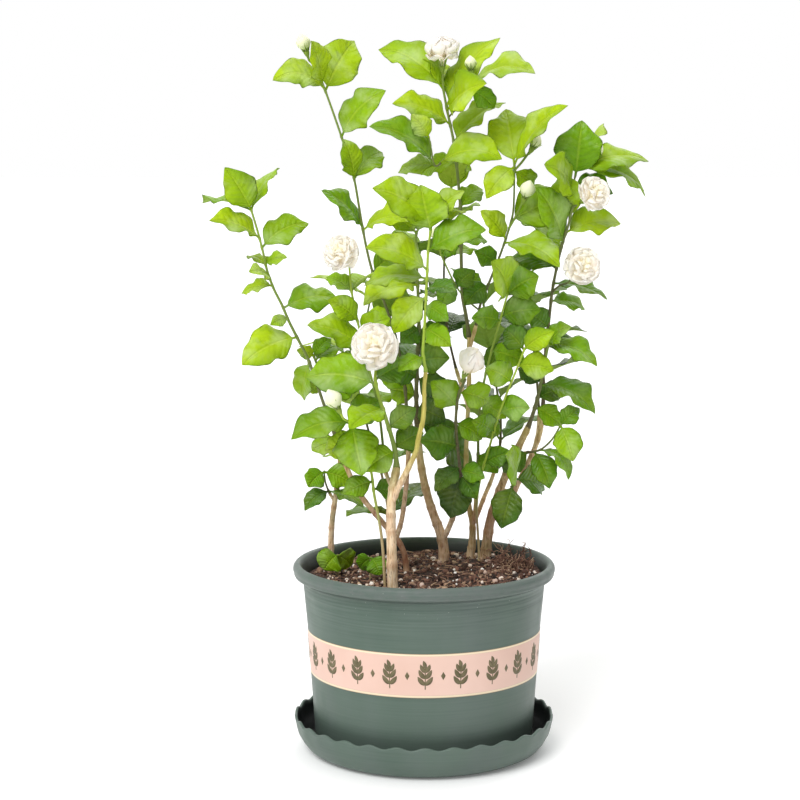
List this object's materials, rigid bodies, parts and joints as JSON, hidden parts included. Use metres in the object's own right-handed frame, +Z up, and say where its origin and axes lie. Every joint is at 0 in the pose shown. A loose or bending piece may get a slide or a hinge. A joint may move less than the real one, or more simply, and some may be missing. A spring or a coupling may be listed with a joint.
{
  "type": "potted arabian jasmine",
  "caption": "Flowering jasmine bush with double white blooms, buds and wavy leaves, in a tapered resin pot on a scalloped saucer.",
  "frame": {"origin": "centre of the saucer's flat underside, on the axis of pot and saucer", "axes": "+Z up along the axis of the pot, +X to the right and -Y towards someone in front of the plant"},
  "size_m": [0.3403, 0.2253, 0.5414],
  "materials": {
    "pot": "grey-green moulded resin with a soft sheen and a pale printed band",
    "saucer": "grey-green moulded resin",
    "soil": "loose red-brown peat with pale perlite grains",
    "bark": "tan to brown bark, fine lengthwise cracks",
    "leaf": "glossy green leaf, lighter veins, softer below",
    "petal": "creamy white petal, soft and slightly translucent",
    "bud": "pale green-white closed petals"
  },
  "bodies": {
    "root": {"bloom_ball": "petal", "bloom_far_right": "petal", "bloom_left": "petal", "bloom_left_front": "petal", "bloom_right": "petal", "bloom_top": "petal", "bud_centre": "bud", "bud_fork": "bud", "bud_left": "bud", "bud_right": "bud", "bud_right_top": "bud", "bud_top": "bud", "bud_top_left": "bud", "cane_far_left": "bark", "cane_far_right": "bark", "cane_front": "bark", "cane_left": "bark", "cane_middle": "bark", "cane_right": "bark", "pot": "pot", "saucer": "saucer", "shoot_back_far_right": "leaf", "shoot_back_left": "leaf", "shoot_back_middle": "leaf", "shoot_back_right": "leaf", "shoot_back_top": "leaf", "shoot_ball": "leaf", "shoot_centre": "leaf", "shoot_far_left": "leaf", "shoot_far_left_low": "leaf", "shoot_ground": "leaf", "shoot_ground_front": "leaf", "shoot_left_arm": "leaf", "shoot_left_centre": "leaf", "shoot_left_front": "leaf", "shoot_left_low": "leaf", "shoot_low_leaf": "leaf", "shoot_low_twig": "leaf", "shoot_middle": "leaf", "shoot_right_arm": "leaf", "shoot_right_inner": "leaf", "shoot_right_low": "leaf", "shoot_right_thin": "leaf", "shoot_right_top": "leaf", "shoot_top": "leaf", "shoot_top_left": "leaf", "soil": "soil"}
  },
  "joints": []
}
